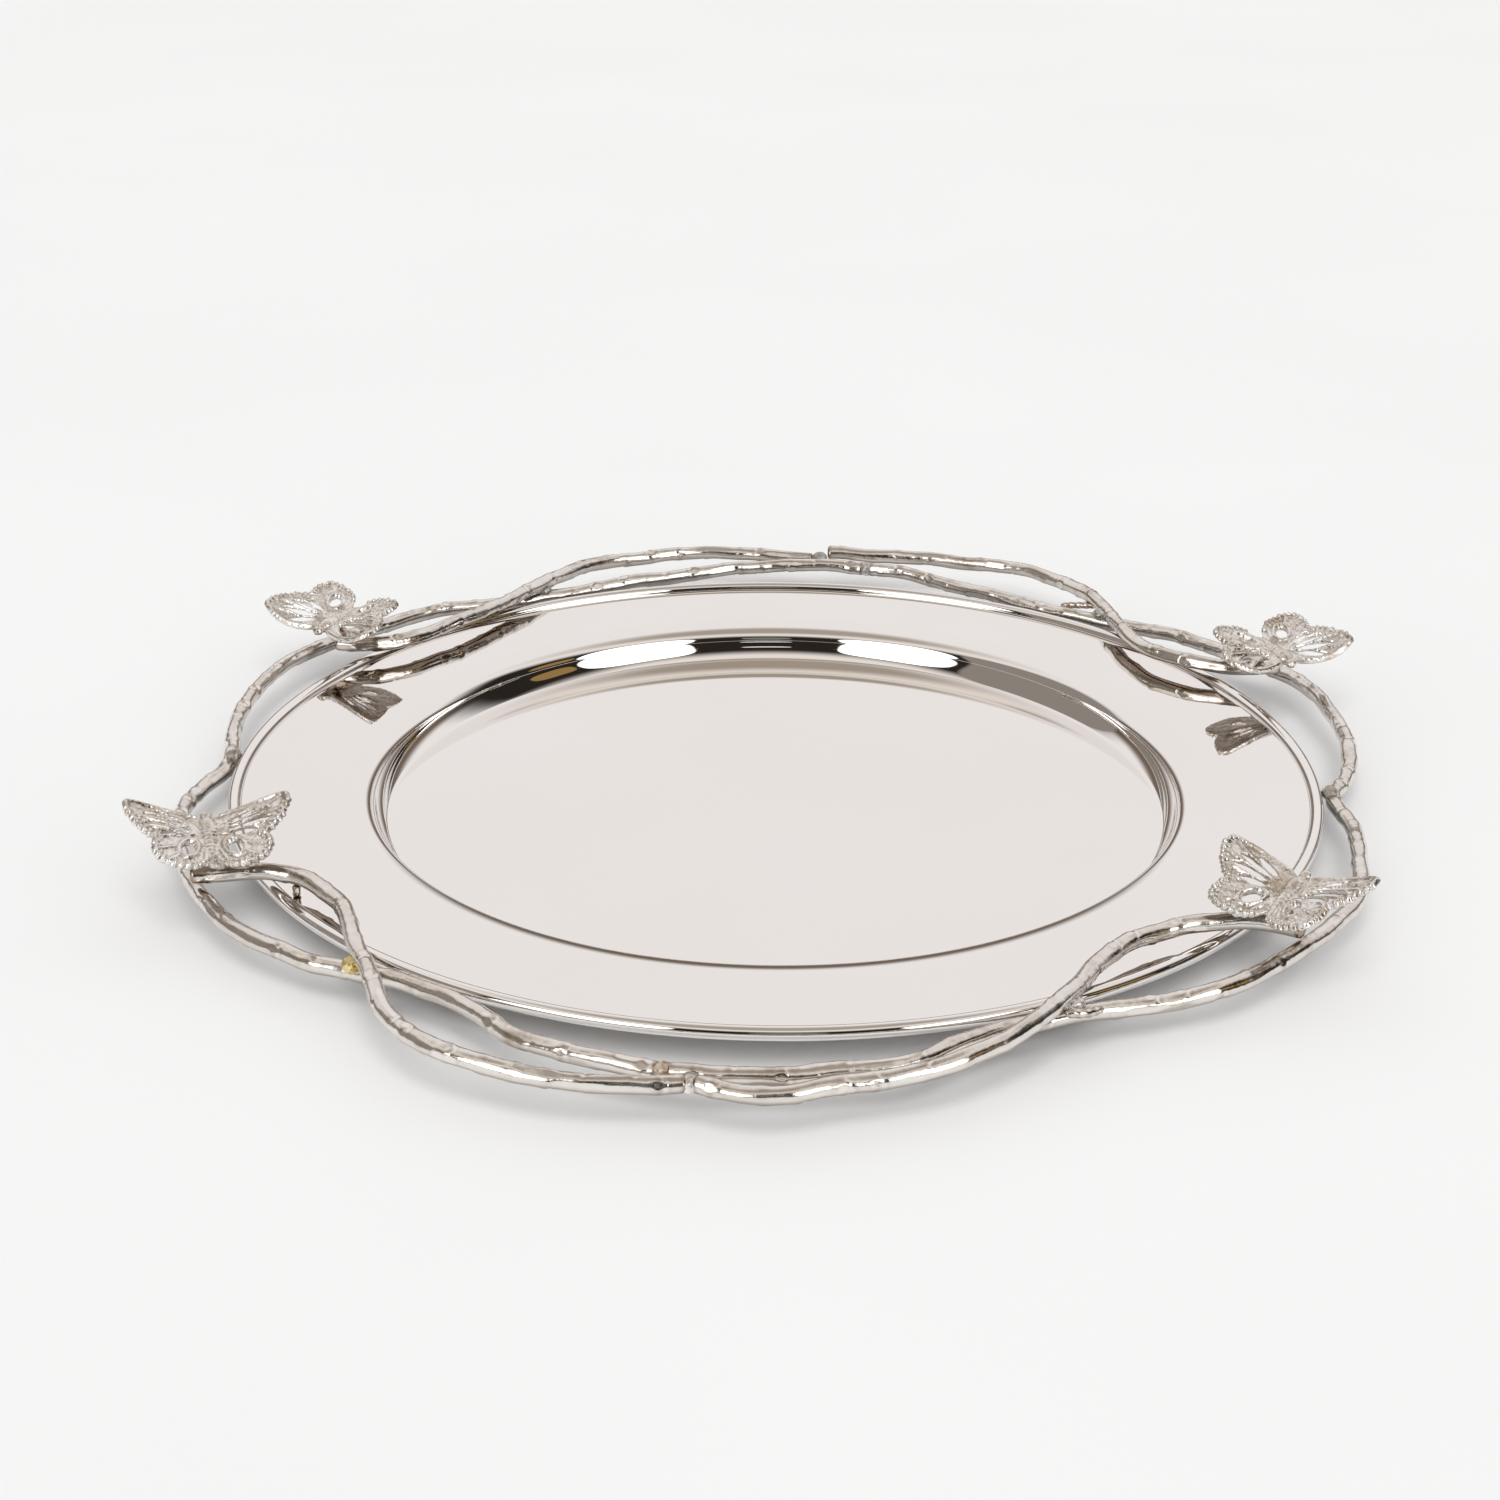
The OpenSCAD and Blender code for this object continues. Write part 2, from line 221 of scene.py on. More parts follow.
def frames_along(path):
    along = np.gradient(path, axis=0)
    along /= np.linalg.norm(along, axis=1)[:, None]
    side = np.cross(along, [0, 0, 1.0])
    flat = np.linalg.norm(side, axis=1) < 1e-3
    side[flat] = [1.0, 0, 0]
    side /= np.linalg.norm(side, axis=1)[:, None]
    return side, np.cross(side, along)


def tube_faces(rings, sides):
    faces = []
    for i in range(rings - 1):
        for k in range(sides):
            n = (k + 1) % sides
            a, b = i * sides, (i + 1) * sides
            faces.append((a + k, a + n, b + n, b + k))
    faces.append(tuple(range(sides - 1, -1, -1)))
    faces.append(tuple((rings - 1) * sides + k for k in range(sides)))
    return faces


def make_piece(name, points_mm, faces, material, node):
    mesh = bpy.data.meshes.new(name)
    mesh.from_pydata([tuple(p) for p in np.asarray(points_mm) * MM], [], faces)
    mesh.update()
    mesh.validate()
    mesh.shade_smooth()
    return place_piece(name, mesh, material, node)


def place_piece(name, mesh, material, node):
    piece = bpy.data.objects.new(name, mesh)
    bpy.context.scene.collection.objects.link(piece)
    mesh.materials.clear()
    mesh.materials.append(material)
    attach(piece, "root")
    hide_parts(node)
    return piece


# ---------------------------------------------------------------- materials
def new_material(name, colour, roughness):
    material = bpy.data.materials.new(name)
    material.use_nodes = True
    shader = material.node_tree.nodes["Principled BSDF"]
    shader.inputs["Base Color"].default_value = (*colour, 1)
    shader.inputs["Metallic"].default_value = 1.0
    shader.inputs["Roughness"].default_value = roughness
    return material, material.node_tree, shader


def add_noise(tree, scale, detail=3.0, roughness=0.5):
    place = tree.nodes.new("ShaderNodeTexCoord")
    texture = tree.nodes.new("ShaderNodeTexNoise")
    texture.inputs["Scale"].default_value = scale
    texture.inputs["Detail"].default_value = detail
    texture.inputs["Roughness"].default_value = roughness
    tree.links.new(place.outputs["Object"], texture.inputs["Vector"])
    return texture.outputs["Fac"]


def add_ramp(tree, source, stops):
    ramp = tree.nodes.new("ShaderNodeValToRGB")
    elements = ramp.color_ramp.elements
    while len(elements) < len(stops):
        elements.new(0.5)
    for element, (position, colour) in zip(elements, stops):
        element.position = position
        element.color = (*colour, 1)
    tree.links.new(source, ramp.inputs["Fac"])
    return ramp.outputs["Color"]


def add_range(tree, source, low, high, to_low, to_high):
    node = tree.nodes.new("ShaderNodeMapRange")
    for socket, value in zip(("From Min", "From Max", "To Min", "To Max"),
                             (low, high, to_low, to_high)):
        node.inputs[socket].default_value = value
    tree.links.new(source, node.inputs["Value"])
    return node.outputs["Result"]


def add_mix(tree, blend, factor, a, b):
    node = tree.nodes.new("ShaderNodeMix")
    node.data_type = "RGBA"
    node.blend_type = blend
    if isinstance(factor, float):
        node.inputs["Factor"].default_value = factor
    else:
        tree.links.new(factor, node.inputs["Factor"])
    tree.links.new(a, node.inputs["A"])
    tree.links.new(b, node.inputs["B"])
    return node.outputs["Result"]


def add_bump(tree, shader, heights, distances):
    previous = None
    for height, distance in zip(heights, distances):
        bump = tree.nodes.new("ShaderNodeBump")
        bump.inputs["Strength"].default_value = 1.0
        bump.inputs["Distance"].default_value = distance
        tree.links.new(height, bump.inputs["Height"])
        if previous is not None:
            tree.links.new(previous, bump.inputs["Normal"])
        previous = bump.outputs["Normal"]
    tree.links.new(previous, shader.inputs["Normal"])


def mirror_steel():
    material, tree, shader = new_material("mirror_steel", (0.9, 0.875, 0.85), 0.03)
    film = add_noise(tree, 9.0, 4.0)
    tree.links.new(add_ramp(tree, film, [(0.3, (0.9, 0.872, 0.848)), (0.7, (0.915, 0.892, 0.872))]),
                   shader.inputs["Base Color"])
    specks = add_noise(tree, 900.0, 2.0, 0.7)
    tree.links.new(add_range(tree, specks, 0.62, 0.8, 0.028, 0.1), shader.inputs["Roughness"])
    add_bump(tree, shader, [add_noise(tree, 14.0, 1.0)], [0.00003])
    return material


def painted_underside_shade(tree):
    """White over the tops, with painted dark brown shade below, on the faces that turn downwards."""
    geometry = tree.nodes.new("ShaderNodeNewGeometry")
    split = tree.nodes.new("ShaderNodeSeparateXYZ")
    tree.links.new(geometry.outputs["Normal"], split.inputs["Vector"])
    return add_ramp(tree, add_range(tree, split.outputs["Z"], -1.0, 1.0, 0.0, 1.0),
                    [(0.14, (0.26, 0.2, 0.15)), (0.42, (1, 1, 1))])


def nickel_rod():
    material, tree, shader = new_material("nickel_rod", (0.84, 0.81, 0.775), 0.15)
    geometry = tree.nodes.new("ShaderNodeNewGeometry")
    hollow = add_ramp(tree, geometry.outputs["Pointiness"],
                      [(0.45, (0.42, 0.34, 0.27)), (0.49, (0.86, 0.83, 0.79)),
                       (0.55, (0.93, 0.915, 0.9))])
    stain = add_ramp(tree, add_noise(tree, 42.0, 6.0, 0.65),
                     [(0.3, (0.55, 0.48, 0.41)), (0.42, (0.93, 0.91, 0.89)), (0.6, (1, 1, 1))])
    worn = add_mix(tree, "MULTIPLY", 0.8, hollow, stain)
    # Painted shade: the base colour turns dark brown on faces that point downwards.
    tree.links.new(add_mix(tree, "MULTIPLY", 0.9, worn, painted_underside_shade(tree)),
                   shader.inputs["Base Color"])
    tree.links.new(add_range(tree, add_noise(tree, 130.0, 4.0), 0.3, 0.7, 0.07, 0.24),
                   shader.inputs["Roughness"])
    add_bump(tree, shader, [add_noise(tree, 210.0, 2.0), add_noise(tree, 1200.0, 3.0, 0.7)],
             [0.00025, 0.00004])
    return material


def nickel_cast():
    material, tree, shader = new_material("nickel_cast", (0.86, 0.84, 0.81), 0.2)
    geometry = tree.nodes.new("ShaderNodeNewGeometry")
    hollow = add_ramp(tree, geometry.outputs["Pointiness"],
                      [(0.42, (0.36, 0.29, 0.22)), (0.5, (0.86, 0.83, 0.79)),
                       (0.58, (0.95, 0.94, 0.92))])
    stain = add_ramp(tree, add_noise(tree, 120.0, 5.0, 0.6),
                     [(0.34, (0.66, 0.58, 0.48)), (0.5, (1, 1, 1))])
    worn = add_mix(tree, "MULTIPLY", 0.8, hollow, stain)
    # Painted shade: the base colour turns dark brown on faces that point downwards.
    tree.links.new(add_mix(tree, "MULTIPLY", 0.9, worn, painted_underside_shade(tree)),
                   shader.inputs["Base Color"])
    tree.links.new(add_range(tree, add_noise(tree, 300.0, 3.0), 0.3, 0.7, 0.08, 0.24),
                   shader.inputs["Roughness"])
    add_bump(tree, shader, [add_noise(tree, 900.0, 3.0, 0.6)], [0.00025])
    return material


def solder_metal(name, dull, bright, roughness):
    material, tree, shader = new_material(name, bright, roughness)
    tree.links.new(add_ramp(tree, add_noise(tree, 420.0, 4.0, 0.6), [(0.35, dull), (0.62, bright)]),
                   shader.inputs["Base Color"])
    patchy = add_range(tree, add_noise(tree, 700.0, 3.0), 0.3, 0.7, roughness, roughness + 0.25)
    tree.links.new(patchy, shader.inputs["Roughness"])
    add_bump(tree, shader, [add_noise(tree, 800.0, 4.0, 0.6)], [0.0003])
    return material


# ---------------------------------------------------------------- dish
def dish_profile():
    """Middle line of the sheet, from the centre of the floor out to the end of the rolled edge."""
    def direction(degrees):
        return np.array([math.cos(math.radians(degrees)), math.sin(math.radians(degrees))])

    ease_centre = np.array([BRIM_FLAT_END, BRIM_MID - BRIM_EASE_R])
    shoulder = ease_centre + (BRIM_EASE_R - SHOULDER_FILLET) * direction(90 + BRIM_EASE_ANGLE)
    wall_top = shoulder + SHOULDER_FILLET * direction(90 + WALL_ANGLE)
    heel, wall = direction(HEEL_ANGLE), direction(WALL_ANGLE)
    wall_r = (wall_top[1] - FLOOR_MID - HEEL_FILLET * (1 - heel[0])) / (heel[0] - wall[0])
    wall_centre = wall_top - wall_r * direction(WALL_ANGLE - 90)
    wall_foot = wall_centre + wall_r * direction(HEEL_ANGLE - 90)
    floor_r = wall_foot[0] - HEEL_FILLET * heel[1]
    curl = (DISH_R - CURL_R, BRIM_MID + 0.5)
    brim_end = curl[0] - CURL_MID - CURL_FILLET
    line = [(r, FLOOR_MID) for r in np.linspace(0.5, floor_r - 0.5, 40)]
    line += arc((floor_r, FLOOR_MID + HEEL_FILLET), HEEL_FILLET, -90, HEEL_ANGLE - 90, 20)
    line += arc(wall_centre, wall_r, HEEL_ANGLE - 89, WALL_ANGLE - 90, 44)
    line += arc(shoulder, SHOULDER_FILLET, 91 + WALL_ANGLE, 90 + BRIM_EASE_ANGLE, 56)
    line += arc(ease_centre, BRIM_EASE_R, 90 + BRIM_EASE_ANGLE - 1, 90, 20)
    line += [(r, BRIM_MID) for r in np.linspace(BRIM_FLAT_END + 0.5, brim_end - 0.5, 20)]
    line += arc((brim_end, BRIM_MID + CURL_FILLET), CURL_FILLET, -90, -4, 8)
    line += arc(curl, CURL_MID, 176, CURL_END, 40)
    return np.array(line)


def make_dish(material):
    line = dish_profile()
    along = np.gradient(line, axis=0)
    along /= np.linalg.norm(along, axis=1)[:, None]
    normal = np.stack([-along[:, 1], along[:, 0]], 1)
    top, under = line + normal * SHEET_T / 2, line - normal * SHEET_T / 2
    section = np.concatenate([top, under[::-1]])
    rows = len(section)
    angle = np.linspace(0, 2 * math.pi, DISH_TURNS, endpoint=False)
    points = np.stack([np.outer(np.cos(angle), section[:, 0]),
                       np.outer(np.sin(angle), section[:, 0]),
                       np.tile(section[:, 1], (DISH_TURNS, 1))], 2).reshape(-1, 3)
    faces = []
    for i in range(DISH_TURNS):
        n = (i + 1) % DISH_TURNS
        for k in range(rows - 1):
            faces.append((i * rows + k, n * rows + k, n * rows + k + 1, i * rows + k + 1))
    top_centre, under_centre = len(points), len(points) + 1
    points = np.vstack([points, [0, 0, section[0, 1]], [0, 0, section[-1, 1]]])
    for i in range(DISH_TURNS):
        n = (i + 1) % DISH_TURNS
        faces.append((top_centre, n * rows, i * rows))
        faces.append((under_centre, i * rows + rows - 1, n * rows + rows - 1))
    return make_piece("dish", points, faces, material, "tray_dish")


# ---------------------------------------------------------------- rods
def hammered(stations, angles, radius, random):
    """Radius at each station and angle of a hammered twig: knuckles with scars, and long flats."""
    s, a = stations[:, None], angles[None, :]
    r = radius * (0.92 + 0.03 * np.sin(s / 17 + 2 * a) + 0.02 * np.sin(s / 5.3 - 3 * a))
    for _ in range(int(stations[-1] / FLAT_SPACING)):
        at, turn = random.uniform(0, stations[-1]), random.uniform(0, 2 * math.pi)
        long, flat = random.uniform(3, 7), random.uniform(0.83, 0.91)
        spread = np.angle(np.exp(1j * (a - turn)))
        plane = flat * radius / np.cos(np.clip(spread, -1, 1))
        plane = plane + 0.02 * radius * ((s - at) / long) ** 8
        r = np.where(np.abs(spread) < 1, np.minimum(r, plane), r)
    at = random.uniform(3, 9)
    while at < stations[-1] - 2:
        turn, swell = random.uniform(0, 2 * math.pi), random.uniform(0.06, 0.13) * radius
        spread = np.angle(np.exp(1j * (a - turn)))
        knuckle = np.exp(-((s - at) / KNUCKLE_HALF) ** 2)
        r = r + swell * knuckle * (0.6 + 0.4 * np.cos(spread))
        crease = s - at - CREASE_OFFSET + 0.5 * spread ** 2
        r = r - 0.1 * radius * np.exp(-(crease / CREASE_HALF) ** 2 - (spread / 1.1) ** 4)
        inside = np.exp(-((s - at) / SCAR_HALF) ** 4 - (spread / SCAR_SPREAD) ** 4)
        scar = 0.86 * radius / np.cos(np.clip(spread, -1, 1))
        r = r + (np.minimum(r, scar) - r) * inside
        at += random.uniform(7, 14)
    return r


def make_rod(name, bends, radius, seed, material, node):
    path, stations = smooth_path(bends, ROD_STEP)
    side, up = frames_along(path)
    random = np.random.default_rng(seed)
    phase = random.uniform(0, 6.3, 4)
    sway = 0.12 * np.sin(stations / 5.2 + phase[0]) + 0.08 * np.sin(stations / 2.9 + phase[1])
    lift = 0.2 * np.sin(stations / 6.1 + phase[2]) + 0.1 * np.sin(stations / 3.1 + phase[3])
    centre = path + side * sway[:, None] + up * lift[:, None]
    angles = np.linspace(0, 2 * math.pi, ROD_SIDES, endpoint=False)
    r = hammered(stations, angles, radius, random)
    ends = np.minimum(stations, stations[-1] - stations)
    r = r * np.sqrt(np.clip(1 - (1 - np.clip(ends / 0.9, 0, 1)) ** 2 * 0.5, 0, 1))[:, None]
    points = (centre[:, None, :] + side[:, None, :] * (r * np.cos(angles))[:, :, None]
              + up[:, None, :] * (r * np.sin(angles))[:, :, None]).reshape(-1, 3)
    return make_piece(name, points, tube_faces(len(path), ROD_SIDES), material, node)


def make_twig(name, bends, radius, seed, material, node):
    """A short prong or stub: tapered, with a rounded end."""
    path, stations = smooth_path(bends, TWIG_STEP)
    side, up = frames_along(path)
    t = stations / stations[-1]
    angles = np.linspace(0, 2 * math.pi, TWIG_SIDES, endpoint=False)
    ends = np.sqrt(np.clip(1 - (2 * np.clip(np.abs(t - 0.5) - 0.32, 0, None) / 0.37) ** 2, 0.03, 1))
    bumps = 1 + 0.06 * np.sin(stations[:, None] * 2.1 + 2 * angles + seed)
    r = radius * (ends * (1.05 - 0.2 * t))[:, None] * bumps
    points = (path[:, None, :] + side[:, None, :] * (r * np.cos(angles))[:, :, None]
              + up[:, None, :] * (r * np.sin(angles))[:, :, None]).reshape(-1, 3)
    return make_piece(name, points, tube_faces(len(path), TWIG_SIDES), material, node)


# ---------------------------------------------------------------- butterflies
def depth_inside(x, y, line):
    """Distance in from a closed outline, negative outside it."""
    nearest, inside = np.full(x.shape, 1e9), np.zeros(x.shape, bool)
    for (ax, ay), (bx, by) in zip(line, np.roll(line, -1, axis=0)):
        dx, dy = bx - ax, by - ay
        t = np.clip(((x - ax) * dx + (y - ay) * dy) / (dx * dx + dy * dy + 1e-12), 0, 1)
        nearest = np.minimum(nearest, np.hypot(x - ax - t * dx, y - ay - t * dy))
        crosses = ((ay > y) != (by > y)) & (x < dx * (y - ay) / (dy if dy else 1e-12) + ax)
        inside ^= crosses
    return np.where(inside, nearest, -nearest)


def ridge(x, y, hub, angle, width):
    """1 on a line that leaves hub at angle, falling to 0 beside it and near the hub."""
    c, d = math.cos(math.radians(angle)), math.sin(math.radians(angle))
    along, across = (x - hub[0]) * c + (y - hub[1]) * d, -(x - hub[0]) * d + (y - hub[1]) * c
    return np.exp(-(across / width) ** 2) * np.clip((along - 1) / 3, 0, 1)


def step_up(value, start, end):
    t = np.clip((value - start) / (end - start), 0, 1)
    return t * t * (3 - 2 * t)


def wing_fields(x, y, random):
    """How far each point lies inside the openwork, and how high the cast relief stands there."""
    line, tip = spline(WING_EDGE, WING_STEPS), WING_TIP * WING_STEPS
    edge_depth = depth_inside(x, y, line)
    depth, relief = edge_depth.copy(), np.zeros(x.shape)
    for hub, rib_height, angles in (FORE_RIBS, HIND_RIBS):
        for angle in angles:
            rib = rib_height * ridge(x, y, hub, angle, RIB_HALF) * step_up(edge_depth, 0.5, 3)
            relief = np.maximum(relief, rib)
    leading = step_up(y + 0.04 * x, 8.2, 9.6)
    relief = np.maximum(relief, leading * np.exp(-((edge_depth - 1.0) / 0.9) ** 2))
    walk, last = 0.0, line[tip]
    for point in line[tip:-14]:
        walk += np.hypot(*(point - last))
        last = point
        if walk < BEAD_SPACING:
            continue
        walk = random.uniform(-0.25, 0.25)
        size = random.uniform(0.85, 1.15)
        for inset, scale in BEAD_ROWS:
            inward = np.array([9.0, -1.0]) - point
            centre = point + inward / np.hypot(*inward) * inset + random.uniform(-0.15, 0.15, 2)
            away = np.hypot(x - centre[0], y - centre[1])
            depth = np.maximum(depth, scale * size - away)
            bead = 1.15 * np.sqrt(np.clip((scale * size) ** 2 - away ** 2, 0, None))
            relief = np.maximum(relief, bead)
    for angle, length in SLITS:
        c, d = math.cos(math.radians(angle)), math.sin(math.radians(angle))
        t = (x * c + (y - 1) * d - SLIT_START) / length
        across = -x * d + (y - 1) * c
        half = 1.15 * np.clip(np.sin(math.pi * np.clip(t, 0, 1)), 0, 1) ** 0.7
        depth = np.where((t > 0) & (t < 1), np.minimum(depth, np.abs(across) - half), depth)
    u, v = x - WING_HOLE[0], y - WING_HOLE[1]
    away = np.hypot((u * 0.9 + v * 0.43) / 1.75, (v * 0.9 - u * 0.43) / 3.0) - 1
    depth = np.minimum(depth, 1.75 * away)
    relief = np.maximum(relief, 1.1 * np.exp(-((away - 0.55) / 0.4) ** 2))
    return depth, relief


def wing_mesh(rise, mirrored, random):
    """One wing as a closed mesh: a sheet whose two faces meet at the edge of the openwork."""
    grid = WING_GRID
    across, back = np.arange(-0.6, 28.5, grid), np.arange(-18, 15.2, grid)
    x, y = np.meshgrid(across, back, indexing="ij")
    depth, relief = wing_fields(x, y, random)
    slope_x, slope_y = np.gradient(depth, grid)
    cells = (depth[:-1, :-1] + depth[1:, :-1] + depth[:-1, 1:] + depth[1:, 1:]) > 0
    used = np.zeros(x.shape, int)
    for i in (0, 1):
        for j in (0, 1):
            used[i:i + cells.shape[0], j:j + cells.shape[1]] += cells
    rim = (used > 0) & (used < 4)
    steep = np.clip(slope_x ** 2 + slope_y ** 2, 0.3, None)
    shift = np.clip(depth / steep, -0.6 * grid, 0.6 * grid)
    x = np.where(rim, x - shift * slope_x, x)
    y = np.where(rim, y - shift * slope_y, y)
    round_off = np.sqrt(1 - (1 - np.clip(depth / WING_HALF_T, 0, 1)) ** 2)
    bend = (0.08 * np.clip(-(y + 3), 0, None)
            - 2.4 * np.sin(math.pi * np.clip(x / 27, 0, 1)) * step_up(y, 2, 12))
    middle = WING_MID_Z + bend
    top = np.where(rim, middle, middle + WING_HALF_T * round_off + relief * round_off)
    under = middle - WING_HALF_T * round_off * (1 - 0.3 * np.clip(relief, 0, 1))
    top_id, under_id = np.full(x.shape, -1), np.full(x.shape, -1)
    shown, inner = used > 0, used == 4
    top_id[shown] = np.arange(shown.sum())
    under_id[shown] = top_id[shown]
    under_id[inner] = shown.sum() + np.arange(inner.sum())
    points = np.vstack([np.stack([x[shown], y[shown], top[shown]], 1),
                        np.stack([x[inner], y[inner], under[inner]], 1)])
    faces = []
    for i, j in zip(*np.nonzero(cells)):
        ring = ((i, j), (i + 1, j), (i + 1, j + 1), (i, j + 1))
        faces.append([top_id[k] for k in ring])
        faces.append([under_id[k] for k in reversed(ring)])
    turn = math.radians(rise)
    points = np.stack([points[:, 0] * math.cos(turn) - points[:, 2] * math.sin(turn), points[:, 1],
                       points[:, 0] * math.sin(turn) + points[:, 2] * math.cos(turn)], 1)
    if mirrored:
        points[:, 0] *= -1
        faces = [face[::-1] for face in faces]
    return points, faces


def body_mesh(sides=28):
    """Head, thorax and ringed abdomen, turned about the line of the body."""
    along = np.linspace(-11.9, 11.9, 150)
    head = 1.9 * np.sqrt(np.clip(1 - ((along - 10) / 1.9) ** 2, 0, 1))
    thorax = 2.8 * np.sqrt(np.clip(1 - ((along - 4.6) / 4.6) ** 2, 0, 1))
    tail = np.clip((along + 11.9) / 13.5, 0, 1)
    abdomen = np.where(along < 2.5, 2.3 * np.sqrt(tail) * (1 + 0.09 * np.sin(along * 4.2)), 0)
    r = np.maximum(np.maximum(np.maximum(head, thorax), abdomen), 0.05)
    angles = np.linspace(0, 2 * math.pi, sides, endpoint=False)
    points = np.stack([np.outer(r, np.cos(angles)), np.outer(along, np.ones(sides)),
                       1.3 + 0.85 * np.outer(r, np.sin(angles))], 2).reshape(-1, 3)
    return points, tube_faces(len(along), sides)


def fused(parts, voxel):
    """Cast the closed meshes into one skin, and give it the fine grain of a sand casting."""
    points, faces = [], []
    for part_points, part_faces in parts:
        start = sum(len(p) for p in points)
        points.append(part_points)
        faces += [[int(k) + start for k in face] for face in part_faces]
    mesh = bpy.data.meshes.new("rough")
    mesh.from_pydata(np.vstack(points).tolist(), [], faces)
    rough = bpy.data.objects.new("rough", mesh)
    bpy.context.scene.collection.objects.link(rough)
    skin = rough.modifiers.new("skin", "REMESH")
    skin.mode = "VOXEL"
    skin.voxel_size = voxel
    ease = rough.modifiers.new("ease", "SMOOTH")
    ease.factor = 0.5
    ease.iterations = 1
    ready = rough.evaluated_get(bpy.context.evaluated_depsgraph_get())
    cast = bpy.data.meshes.new_from_object(ready)
    bpy.data.objects.remove(rough)
    bpy.data.meshes.remove(mesh)
    count = len(cast.vertices)
    where, normal = np.empty(count * 3), np.empty(count * 3)
    cast.vertices.foreach_get("co", where)
    cast.vertex_normals.foreach_get("vector", normal)
    where, normal = where.reshape(-1, 3), normal.reshape(-1, 3)
    grain = [0.13 * noise.noise(Vector(w) * 0.9) + 0.07 * noise.noise(Vector(w) * 2.3)
             for w in where]
    return cast, where + normal * np.array(grain)[:, None]


def make_butterfly(name, place, seed, material, node):
    angle, out, height, heading, rise_left, rise_right, nose_up = place
    random = np.random.default_rng(seed)
    cast, points = fused([wing_mesh(rise_right, False, random), wing_mesh(rise_left, True, random),
                          body_mesh()], CAST_VOXEL)
    tip, turn = math.radians(nose_up), math.radians(heading - 90)
    x, y = points[:, 0], points[:, 1] * math.cos(tip) - points[:, 2] * math.sin(tip)
    z = points[:, 1] * math.sin(tip) + points[:, 2] * math.cos(tip)
    points = np.stack([x * math.cos(turn) - y * math.sin(turn),
                       x * math.sin(turn) + y * math.cos(turn), z], 1)
    points = (points * CAST_SCALE + polar(angle, out, height)) * MM
    cast.vertices.foreach_set("co", points.ravel())
    cast.update()
    cast.shade_smooth()
    cast.name = name
    return place_piece(name, cast, material, node)


# ---------------------------------------------------------------- solder
def make_drop(name, place, seed, material, node):
    """A drop of solder: a slumped, lumpy bead."""
    angle, out, height, radius = place
    shape = bmesh.new()
    bmesh.ops.create_icosphere(shape, subdivisions=4, radius=radius)
    for vertex in shape.verts:
        lump = 1 + 0.13 * noise.noise(vertex.co * 0.7 + Vector((seed, 0, 0))) \
            + 0.05 * noise.noise(vertex.co * 1.9 + Vector((0, seed, 0)))
        vertex.co *= min(lump, 1.06)
        vertex.co.z *= 0.92
        vertex.co = (vertex.co + Vector(polar(angle, out, height))) * MM
    mesh = bpy.data.meshes.new(name)
    shape.to_mesh(mesh)
    shape.free()
    mesh.shade_smooth()
    return place_piece(name, mesh, material, node)


# ---------------------------------------------------------------- stage
def camera():
    """The view of the tray from the front, a little left of its front centre line."""
    distance, elevation, azimuth, roll = 0.8625, 23.89, 4.0, 0.49
    lens, aim_left, aim_up = 63.7, 0.0082, 0.0063
    e, a = math.radians(elevation), math.radians(azimuth)
    back = Vector((math.sin(a) * math.cos(e), -math.cos(a) * math.cos(e), math.sin(e)))
    right = Vector((math.cos(a), math.sin(a), 0))
    up = back.cross(right)
    centre = Vector((0, 0, 12 * MM))
    place = centre + back * distance
    view_back = (place - (centre - right * aim_left + up * aim_up)).normalized()
    view_right = up.cross(view_back).normalized()
    view_up = view_back.cross(view_right)
    turn = Matrix((view_right, view_up, view_back)).transposed().to_4x4()
    data = bpy.data.cameras.new("camera")
    data.lens = lens
    data.sensor_width = 36
    data.clip_start = 0.05
    eye = bpy.data.objects.new("camera", data)
    tilt = Matrix.Rotation(math.radians(roll), 4, "Z")
    eye.matrix_world = Matrix.Translation(place) @ turn @ tilt
    bpy.context.scene.collection.objects.link(eye)
    bpy.context.scene.camera = eye


def fade(tree, source, start, end):
    """0 before start, 1 after end, both in degrees, with a smooth step between."""
    node = tree.nodes.new("ShaderNodeMapRange")
    node.interpolation_type = "SMOOTHSTEP"
    node.inputs["From Min"].default_value = math.radians(start)
    node.inputs["From Max"].default_value = math.radians(end)
    tree.links.new(source, node.inputs["Value"])
    return node.outputs["Result"]


def add_math(tree, operation, *values):
    node = tree.nodes.new("ShaderNodeMath")
    node.operation = operation
    for socket, value in zip(node.inputs, values):
        if isinstance(value, (int, float)):
            socket.default_value = value
        else:
            tree.links.new(value, socket)
    return node.outputs["Value"]


def blend_to(tree, factor, colour, tint):
    node = tree.nodes.new("ShaderNodeMix")
    node.data_type = "RGBA"
    tree.links.new(factor, node.inputs["Factor"])
    if isinstance(colour, tuple):
        node.inputs["A"].default_value = (*colour, 1)
    else:
        tree.links.new(colour, node.inputs["A"])
    if isinstance(tint, tuple):
        node.inputs["B"].default_value = (*tint, 1)
    else:
        tree.links.new(tint, node.inputs["B"])
    return node.outputs["Result"]


def rounded_box(tree, bearing, elevation, centre, half):
    """1 inside a soft-edged rounded rectangle of the sky, given in degrees."""
    sides = []
    for source, middle, reach in zip((bearing, elevation), centre, half):
        offset = add_math(tree, "SUBTRACT", source, math.radians(middle))
        sides.append(add_math(tree, "POWER", add_math(tree, "ABSOLUTE", add_math(
            tree, "DIVIDE", offset, math.radians(reach))), 3.0))
    inside = add_math(tree, "SUBTRACT", 1.0, add_math(tree, "ADD", *sides))
    return add_math(tree, "MULTIPLY", inside, 6.0)


